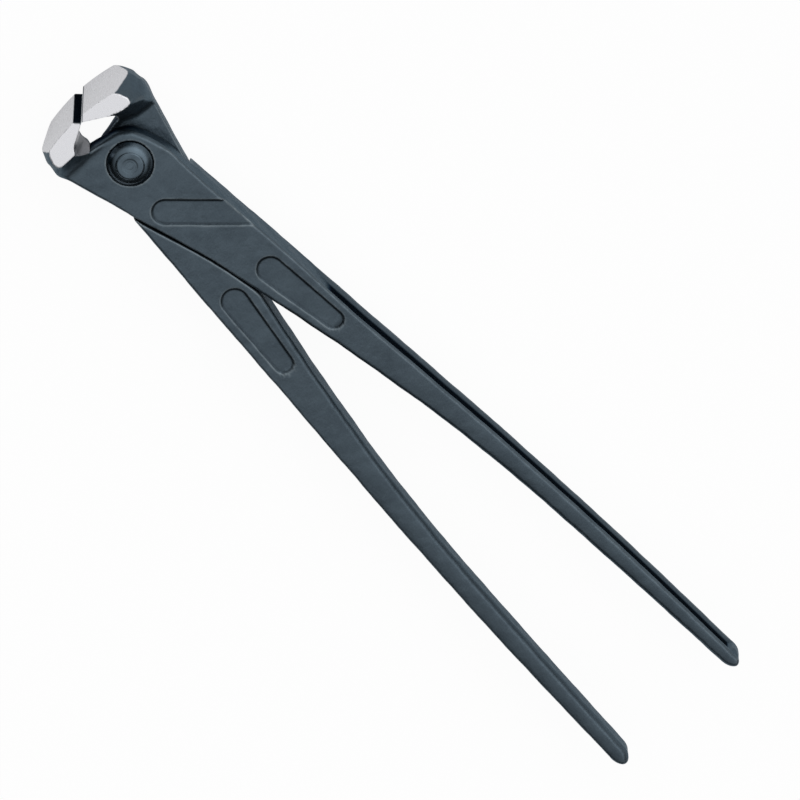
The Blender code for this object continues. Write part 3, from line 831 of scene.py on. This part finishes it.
def forged_steel(name, finish):
    """Blued forging with bright ground faces. The colour drifts between two blue greys, thins
    to grey on worn edges, partly as wear and partly as a painted highlight, and darkens with
    painted shade in creases, on the flute's floor, low on the boss wall and on the bevel. The bump
    is the blasted grain over the slow scale marks of the forge, and fine wheel marks on the ground
    faces."""
    material, tree, shader, place = new_material(name)
    ground = add_node(tree, "ShaderNodeAttribute", attribute_name="ground").outputs["Fac"]
    edge = add_node(tree, "ShaderNodeAttribute", attribute_name="edge").outputs["Fac"]
    painted_shade = add_node(tree, "ShaderNodeAttribute", attribute_name="painted_shade").outputs["Fac"]

    patches = noise(tree, place, PATCH_SCALE, 6.0, 0.7)
    speckle = noise(tree, place, SPECKLE_SCALE, 2.0, 0.6)
    grain = noise(tree, place, GRAIN_SCALE, 3.0, 0.6)
    drift = map_range(tree, patches, 0.32, 0.68)
    drift = math_node(tree, "ADD", drift, map_range(tree, speckle, 0.35, 0.65, -0.22, 0.22))
    forged = mix_colour(tree, drift, tuple(finish.deep_colour), tuple(finish.forged_colour))
    # Edges thin to grey: partly wear of the blueing, partly a painted highlight.
    wear_and_highlight = math_node(tree, "MULTIPLY", edge, map_range(tree, patches, 0.30, 0.62, 0.35, 1.0))
    forged = mix_colour(tree, wear_and_highlight, forged, tuple(finish.worn_and_highlight_colour))
    # Painted shade: creases, the flute's floor, the boss wall's foot and the bevel darken towards a
    # third of the deep colour.
    shade = tuple(0.35 * c for c in finish.deep_colour)
    forged = mix_colour(tree, math_node(tree, "MULTIPLY", painted_shade, 0.8), forged, shade)

    stretched = add_node(tree, "ShaderNodeMapping", (
        ("Vector", place), ("Scale", WHEEL_MARK_STRETCH))).outputs["Vector"]
    marks = noise(tree, stretched, WHEEL_MARK_SCALE, 2.0, 0.5)
    bright = tuple(finish.ground_colour)
    dimmed = tuple(0.93 * c for c in finish.ground_colour)
    polished = mix_colour(tree, map_range(tree, marks, 0.35, 0.65), dimmed, bright)

    tree.links.new(mix_colour(tree, ground, forged, polished), shader.inputs["Base Color"])
    # Painted shade also raises the metal share to 1 there, which drops the diffuse part.
    metal = map_range(tree, math_node(tree, "MAXIMUM", ground, painted_shade), 0.0, 1.0, 0.90, 1.0)
    tree.links.new(metal, shader.inputs["Metallic"])
    # Painted shade also dims the gloss at a grazing look.
    grazing = mix_colour(tree, painted_shade, GRAZING_FORGED, GRAZING_PAINTED_SHADE)
    grazing = mix_colour(tree, ground, grazing, GRAZING_GROUND)
    tree.links.new(grazing, shader.inputs["Specular Tint"])

    matt = map_range(
        tree, grain, 0.3, 0.7, finish.forged_roughness - 0.06, finish.forged_roughness + 0.08)
    gloss = map_range(
        tree, marks, 0.3, 0.7, finish.ground_roughness - 0.05, finish.ground_roughness + 0.05)
    rough = add_node(tree, "ShaderNodeMix", ((0, ground), (2, matt), (3, gloss)), data_type="FLOAT")
    half_bright = math_node(tree, "PINGPONG", ground, 0.5)
    rough = math_node(tree, "ADD", rough.outputs[0], math_node(tree, "MULTIPLY", half_bright, 0.7))
    tree.links.new(rough, shader.inputs["Roughness"])

    dents = noise(tree, place, DENT_SCALE, 3.0, 0.5)
    relief = math_node(tree, "ADD", grain, math_node(tree, "MULTIPLY", dents, 5.0))
    forged_bump = add_node(tree, "ShaderNodeBump", (
        ("Height", relief), ("Strength", 0.5), ("Distance", 0.00009)))
    ground_bump = add_node(tree, "ShaderNodeBump", (
        ("Height", marks), ("Strength", 0.08), ("Distance", 0.00001)))
    blend = add_node(
        tree, "ShaderNodeMix",
        ((0, ground), (4, forged_bump.outputs[0]), (5, ground_bump.outputs[0])),
        data_type="VECTOR")
    tree.links.new(blend.outputs[1], shader.inputs["Normal"])
    return material


def lever_points():
    """The forging's mesh in the joint's coordinates, with the shares of ground face, worn edge with
    a painted highlight, and painted shade at each point. Worn edges come from the skin's outward
    bend, and painted shade from its inward bend, the flute's floor, the boss wall's foot and the
    bevel."""
    shape = LeverShape(bpy.context.scene.lever_sizes)
    across = np.arange(FRONT_BOX[0][0] - 3 * FINE_CELL, FRONT_BOX[1][0] + 3 * FINE_CELL, FINE_CELL)
    thick = np.arange(-HALF_EDGE - 2.5 * FINE_CELL, HALF_EDGE + 3 * FINE_CELL, FINE_CELL)
    vertices, quads = skin_mesh(shape.field, (across, stretched_stations(), thick))
    vertices = np.clip(vertices, *FRONT_BOX)
    _, _, bend = slopes(shape.field, vertices, BEND_PROBE)
    attributes = (
        ("ground", shape.ground(*vertices.T)),
        # Outward bend: worn edge, partly a painted highlight.
        ("edge", fade(bend, EDGE_AND_CREASE_BEND)),
        # Painted shade: darker in creases where the skin bends inward, on the flute's floor, low on
        # the boss wall and on the bevel.
        ("painted_shade", np.max([
            fade(-bend, EDGE_AND_CREASE_BEND),
            shape.painted_recess_shade(*vertices.T),
            BEVEL_DARK * shape.dimmed(*vertices.T)], axis=0)),
    )
    return vertices, quads, attributes


class TYINGPLIERS_OT_levers(bpy.types.Operator):
    """Make the front lever and the rear lever from the same forging"""

    bl_idname = "tyingpliers.levers"
    bl_label = "Levers"

    def execute(self, context):
        finish = context.scene.steel_finish
        vertices, quads, attributes = lever_points()
        half_turn = np.array((-1.0, 1.0, -1.0))
        for name, node, turn, body, slot in (
            ("forged_front_lever", "front_lever", 1.0, FRONT_BODY, "blued_forging"),
            ("forged_rear_lever", "rear_lever", half_turn, REAR_BODY, "blued_forging_rear"),
        ):
            lever = new_object(name, vertices * turn + PIVOT, quads, attributes)
            lever.data.shade_smooth()
            lever.data.set_sharp_from_angle(angle=LEVER_SHARP_ANGLE)
            lever.data.materials.append(forged_steel(slot, finish))
            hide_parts(node)
            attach(lever, body)
        return {"FINISHED"}


def rivet_profile(sizes):
    """Half of the rivet's outline from the axis at the top to the middle of the shaft. The
    dish ends in a smooth rise, its ring is a bell curve, the shoulder goes out as sin a and
    down as 1 - cos a, and the cone bows out by a sine."""
    radius = np.linspace(0, FLAT_RADIUS - sizes.shoulder_round / 2, DISH_STEPS)
    share = radius / radius[-1]
    dish = sizes.dish_depth * (1 - fade(share, DISH_WALL_SHARES))
    ring_middle, ring_width = RING_SHARES
    ring = sizes.ring_depth * np.exp(-(((share - ring_middle) / ring_width) ** 2))
    top = np.stack([radius, RIVET_TOP - dish - ring], 1)
    cone_top = (FLAT_RADIUS + sizes.shoulder_round / 2, RIVET_TOP - sizes.shoulder_round / 2)
    angle = np.linspace(0, np.pi / 4, SHOULDER_STEPS)[1:]
    start = top[-1]
    bend = np.stack([
        start[0] + (cone_top[0] - start[0]) * np.sin(angle) / math.sin(math.pi / 4),
        start[1] + (cone_top[1] - start[1]) * (1 - np.cos(angle)) / (1 - math.cos(math.pi / 4))], 1)
    rim = (HEAD_RADIUS, PLATE_TOP + 2 * GAP)
    along = np.linspace(0, 1, CONE_STEPS)[1:]
    bow = CONE_BOW * np.sin(np.pi * along)
    cone = np.stack([
        cone_top[0] + (rim[0] - cone_top[0]) * along + bow,
        cone_top[1] + (rim[1] - cone_top[1]) * along + bow], 1)
    seat = PLATE_TOP - RECESS_DEPTH + GAP / 2
    foot = [(HEAD_RADIUS, seat), (SHAFT_RADIUS, seat), (SHAFT_RADIUS, 0.0)]
    return np.concatenate([top, bend, cone, foot])


def turned_surface(profile):
    """A closed surface from a profile of (radius, z) turned about z: a grid of points
    (r cos a, r sin a, z), with one point at each pole."""
    rows = profile[1:-1]
    angle = np.linspace(0, 2 * np.pi, RIVET_TURNS, endpoint=False)
    grid = np.stack([
        rows[:, :1] * np.cos(angle), rows[:, :1] * np.sin(angle),
        np.repeat(rows[:, 1:], RIVET_TURNS, axis=1)], 2).reshape(-1, 3)
    poles = np.array([(0, 0, profile[0][1]), (0, 0, profile[-1][1])])
    vertices = np.concatenate([grid, poles])
    here = np.arange(RIVET_TURNS)
    after = (here + 1) % RIVET_TURNS
    base = np.arange(len(rows) - 1)[:, None] * RIVET_TURNS
    quads = np.stack([base + here, base + RIVET_TURNS + here,
                      base + RIVET_TURNS + after, base + after], 2).reshape(-1, 4)
    last = (len(rows) - 1) * RIVET_TURNS
    top = np.stack([here, after, np.full(RIVET_TURNS, len(grid))], 1)
    bottom = np.stack([last + after, last + here, np.full(RIVET_TURNS, len(grid) + 1)], 1)
    return vertices, quads.tolist() + top.tolist() + bottom.tolist()


def rivet_steel(name, finish):
    """The rivet's blued steel, smoother than the forging, with faint turned rings."""
    material, tree, shader, place = new_material(name)
    centred = add_node(tree, "ShaderNodeMapping", (
        ("Vector", place), ("Location", tuple(-PIVOT)))).outputs["Vector"]
    parts = add_node(tree, "ShaderNodeSeparateXYZ", (("Vector", centred),))
    flat = add_node(tree, "ShaderNodeCombineXYZ", (
        ("X", parts.outputs["X"]), ("Y", parts.outputs["Y"])))
    radius = add_node(
        tree, "ShaderNodeVectorMath", ((0, flat.outputs[0]),), operation="LENGTH").outputs["Value"]
    rings = math_node(tree, "SINE", math_node(tree, "MULTIPLY", radius, TURNED_RING_RATE))
    patches = noise(tree, place, RIVET_PATCH_SCALE, 4.0)
    grain = noise(tree, place, RIVET_GRAIN_SCALE, 3.0)
    colour = mix_colour(
        tree, map_range(tree, patches, 0.3, 0.7),
        tuple(0.9 * c for c in finish.deep_colour), tuple(1.3 * c for c in finish.forged_colour))
    tree.links.new(colour, shader.inputs["Base Color"])
    shader.inputs["Metallic"].default_value = 1.0
    tree.links.new(map_range(tree, patches, 0.3, 0.7, 0.18, 0.28), shader.inputs["Roughness"])
    relief = math_node(tree, "ADD", grain, math_node(tree, "MULTIPLY", rings, 0.10))
    bump = add_node(tree, "ShaderNodeBump", (
        ("Height", relief), ("Strength", 0.35), ("Distance", 0.00005)))
    tree.links.new(bump.outputs[0], shader.inputs["Normal"])
    return material


class TYINGPLIERS_OT_rivet(bpy.types.Operator):
    """Make the rivet with its two closed heads"""

    bl_idname = "tyingpliers.rivet"
    bl_label = "Rivet"

    def execute(self, context):
        half = rivet_profile(context.scene.rivet_sizes)
        profile = np.concatenate([half, half[::-1][1:] * (1, -1)])
        vertices, faces = turned_surface(profile)
        rivet = new_object("closed_pivot_rivet", vertices + PIVOT, faces)
        rivet.data.shade_smooth()
        rivet.data.set_sharp_from_angle(angle=RIVET_SHARP_ANGLE)
        rivet.data.materials.append(rivet_steel("blued_rivet", context.scene.steel_finish))
        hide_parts("pivot_rivet")
        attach(rivet, FRONT_BODY)
        return {"FINISHED"}


class TYINGPLIERS_OT_stage(bpy.types.Operator):
    """Make the floor, the light and the camera"""

    bl_idname = "tyingpliers.stage"
    bl_label = "Stage"

    def execute(self, context):
        studio = context.scene.studio
        self.make_floor()
        self.make_light(studio)
        self.make_camera(studio)
        context.scene.view_settings.view_transform = "Standard"
        return {"FINISHED"}

    def make_floor(self):
        """A pale floor that keeps the object's shadow and looks nearly white to the camera."""
        corners = np.array([(-1, -1, 0), (1, -1, 0), (1, 1, 0), (-1, 1, 0)]) * FLOOR_REACH
        floor = new_object("studio_floor", corners, [(0, 1, 2, 3)])
        material, tree, shader, place = new_material("studio_floor")
        shade = map_range(tree, noise(tree, place, 1.5, 2.0), 0.3, 0.7)
        colour = mix_colour(tree, shade, *FLOOR_COLOURS)
        tree.links.new(colour, shader.inputs["Base Color"])
        shader.inputs["Roughness"].default_value = 0.9
        shader.inputs["Specular IOR Level"].default_value = 0.1
        path = add_node(tree, "ShaderNodeLightPath")
        glossy = math_node(tree, "MULTIPLY", path.outputs["Is Glossy Ray"], FLOOR_IN_METAL)
        camera = math_node(tree, "MULTIPLY", path.outputs["Is Camera Ray"], FLOOR_IN_CAMERA)
        share = math_node(tree, "MAXIMUM", glossy, camera)
        glow = add_node(tree, "ShaderNodeEmission", (("Color", (1.0, 1.0, 1.0, 1.0)),))
        blend = add_node(tree, "ShaderNodeMixShader", (
            (0, share), (1, shader.outputs[0]), (2, glow.outputs[0])))
        tree.links.new(blend.outputs[0], tree.nodes["Material Output"].inputs["Surface"])
        floor.data.materials.append(material)

    def make_light(self, studio):
        """A sky in soft bands with a brighter wall on the right, and a soft box overhead."""
        world = bpy.data.worlds.new("studio_sky")
        world.use_nodes = True
        tree = world.node_tree
        place = add_node(tree, "ShaderNodeTexCoord").outputs["Generated"]
        parts = add_node(tree, "ShaderNodeSeparateXYZ", (("Vector", place),))
        ramp = add_node(tree, "ShaderNodeValToRGB", (("Fac", parts.outputs["Z"]),))
        stops = list(zip(SKY_BANDS, (
            studio.horizon_level, studio.horizon_level, studio.ring_level,
            studio.ring_level, studio.sky_level)))
        marks = ramp.color_ramp.elements
        for position, level in stops[1:-1]:
            marks.new(position)
        for mark, (position, level) in zip(marks, stops):
            mark.position = position
            mark.color = (level, level, level, 1.0)
        toward = add_node(tree, "ShaderNodeVectorMath", (
            (0, place), (1, RIGHT_WALL_WAY)), operation="DOT_PRODUCT").outputs["Value"]
        lobe = math_node(
            tree, "POWER", math_node(tree, "MAXIMUM", toward, 0.0), RIGHT_WALL_POWER)
        side = map_range(tree, parts.outputs["X"], *LEFT_SHADE)
        level = math_node(
            tree, "ADD", math_node(tree, "MULTIPLY", ramp.outputs["Color"], side),
            math_node(tree, "MULTIPLY", lobe, studio.right_level))
        seen = add_node(tree, "ShaderNodeLightPath").outputs["Is Camera Ray"]
        level = math_node(tree, "MAXIMUM", level, seen)
        tree.links.new(level, tree.nodes["Background"].inputs["Strength"])
        tree.nodes["Background"].inputs["Color"].default_value = (1.0, 1.0, 1.0, 1.0)
        bpy.context.scene.world = world

        lamp = bpy.data.lights.new("soft_box", "AREA")
        lamp.shape = "RECTANGLE"
        lamp.size = SOFT_BOX_SIZE
        lamp.size_y = SOFT_BOX_SIZE
        lamp.energy = studio.lamp_power
        box = bpy.data.objects.new("soft_box", lamp)
        box.location = SOFT_BOX_PLACE
        bpy.context.scene.collection.objects.link(box)

    def make_camera(self, studio):
        """Looks at the tool along the photograph's line of sight. The columns of the turn are
        the picture's right, up and backward directions, and the rivet is at its own pixel."""
        spin, tilt = studio.camera_spin, studio.camera_tilt
        right = np.array((math.cos(spin), -math.sin(spin), studio.camera_lean))
        right /= np.linalg.norm(right)
        up = np.array((
            math.sin(spin) * math.cos(tilt), math.cos(spin) * math.cos(tilt), -math.sin(tilt)))
        up -= right * (up @ right)
        up /= np.linalg.norm(up)
        back = np.cross(right, up)
        scale = studio.pixels_per_metre
        half = PICTURE_SIZE / 2
        centre = PIVOT + right * (half - PIVOT_PIXEL[0]) / scale
        centre = centre - up * (half - PIVOT_PIXEL[1]) / scale
        place = centre + back * studio.camera_distance
        data = bpy.data.cameras.new("photo_camera")
        data.lens_unit = "FOV"
        data.angle = 2 * math.atan(half / scale / studio.camera_distance)
        camera = bpy.data.objects.new("photo_camera", data)
        matrix = np.eye(4)
        matrix[:3, :3] = np.stack([right, up, back], 1)
        matrix[:3, 3] = place
        camera.matrix_world = Matrix(matrix.tolist())
        bpy.context.scene.collection.objects.link(camera)
        bpy.context.scene.camera = camera


class TYINGPLIERS_PT_sidebar(bpy.types.Panel):
    """Sizes and finishes of the pliers, and the steps that make them"""

    bl_label = "Tying Pliers"
    bl_space_type = "VIEW_3D"
    bl_region_type = "UI"
    bl_category = "Tying Pliers"

    def draw(self, context):
        layout = self.layout
        for group, operator in (
            ("lever_sizes", "tyingpliers.levers"),
            ("rivet_sizes", "tyingpliers.rivet"),
            ("steel_finish", None),
            ("studio", "tyingpliers.stage"),
        ):
            settings = getattr(context.scene, group)
            column = layout.box().column()
            for name in settings.bl_rna.properties.keys():
                if name not in ("rna_type", "name"):
                    column.prop(settings, name)
            if operator:
                column.operator(operator)


CLASSES = (
    LeverSizes,
    RivetSizes,
    Finish,
    Studio,
    TYINGPLIERS_OT_levers,
    TYINGPLIERS_OT_rivet,
    TYINGPLIERS_OT_stage,
    TYINGPLIERS_PT_sidebar,
)
SETTINGS = (
    ("lever_sizes", LeverSizes),
    ("rivet_sizes", RivetSizes),
    ("steel_finish", Finish),
    ("studio", Studio),
)


def register():
    for item in CLASSES:
        bpy.utils.register_class(item)
    for name, group in SETTINGS:
        setattr(bpy.types.Scene, name, bpy.props.PointerProperty(type=group))


def unregister():
    for name, _ in SETTINGS:
        delattr(bpy.types.Scene, name)
    for item in reversed(CLASSES):
        bpy.utils.unregister_class(item)


def main():
    register()
    for make in (bpy.ops.tyingpliers.levers, bpy.ops.tyingpliers.rivet, bpy.ops.tyingpliers.stage):
        make()


if __name__ == "__main__":
    main()
